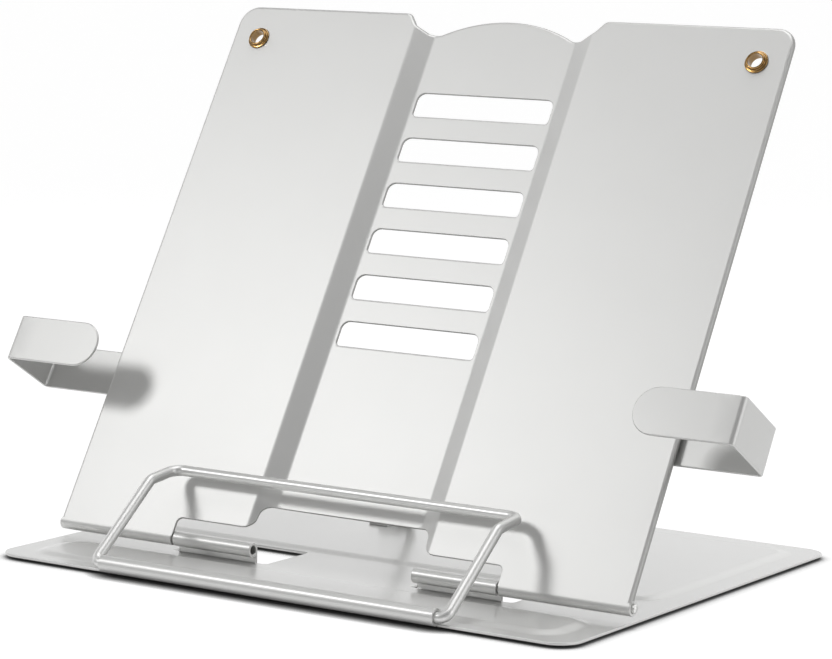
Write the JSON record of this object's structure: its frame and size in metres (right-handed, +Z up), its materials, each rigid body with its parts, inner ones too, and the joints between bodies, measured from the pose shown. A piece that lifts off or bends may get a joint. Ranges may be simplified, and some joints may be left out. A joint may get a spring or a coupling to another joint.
{
  "type": "folding bookstand",
  "caption": "Folding metal bookstand: a slotted back plate hinged to a base plate, with a wire page rail, sliding page clips, brass eyelets and a wire prop behind it.",
  "frame": {"origin": "middle of the footprint, on the table under the pads", "axes": "+X to the reader's right, along the hinge; +Y away from the reader; +Z up"},
  "size_m": [0.2948, 0.1934, 0.1906],
  "materials": {
    "coat": "semi-gloss silver-grey powder coat",
    "wire": "glossy silver-grey coat",
    "steel": "plain cut steel",
    "brass": "polished",
    "rubber": "matte"
  },
  "bodies": {
    "base": {"base_plate": "coat", "prop_saddle_left": "coat", "prop_saddle_right": "coat", "pad_front_left": "rubber", "pad_front_right": "rubber", "pad_rear_left": "rubber", "pad_rear_right": "rubber"},
    "plate": {"back_plate": "coat", "hinge_pin_left": "steel", "hinge_pin_right": "steel", "clip_guide_left": "coat", "clip_guide_right": "coat", "clip_spring_left": "steel", "clip_spring_right": "steel", "eyelet_left": "brass", "eyelet_right": "brass"},
    "prop": {"prop_wire": "wire"},
    "rail": {"page_rail": "wire"},
    "clip_left": {"page_clip_left": "coat"},
    "clip_right": {"page_clip_right": "coat"}
  },
  "joints": [
    {"name": "plate_fold", "type": "hinge", "parent": "base", "child": "plate", "pos_m": [0, -0.05341, 0.00684], "axis": [1, 0, 0], "range_deg": [-57, 0]},
    {"name": "prop_swing", "type": "hinge", "parent": "base", "child": "prop", "pos_m": [0, 0.03769, 0.0052], "axis": [1, 0, 0], "range_deg": [-126.3, 0]},
    {"name": "rail_swing", "type": "hinge", "parent": "base", "child": "rail", "pos_m": [0, -0.09371, 0.0042], "axis": [1, 0, 0], "range_deg": [-3, 140]},
    {"name": "clip_left_slide", "type": "slide", "parent": "plate", "child": "clip_left", "axis": [-1, 0, 0], "range_m": [-0.028, 0.018]},
    {"name": "clip_right_slide", "type": "slide", "parent": "plate", "child": "clip_right", "axis": [1, 0, 0], "range_m": [-0.028, 0.018]}
  ],
  "couplings": [
    {"joint": "prop_swing", "follows": "plate_fold", "ratio": 2.215}
  ]
}
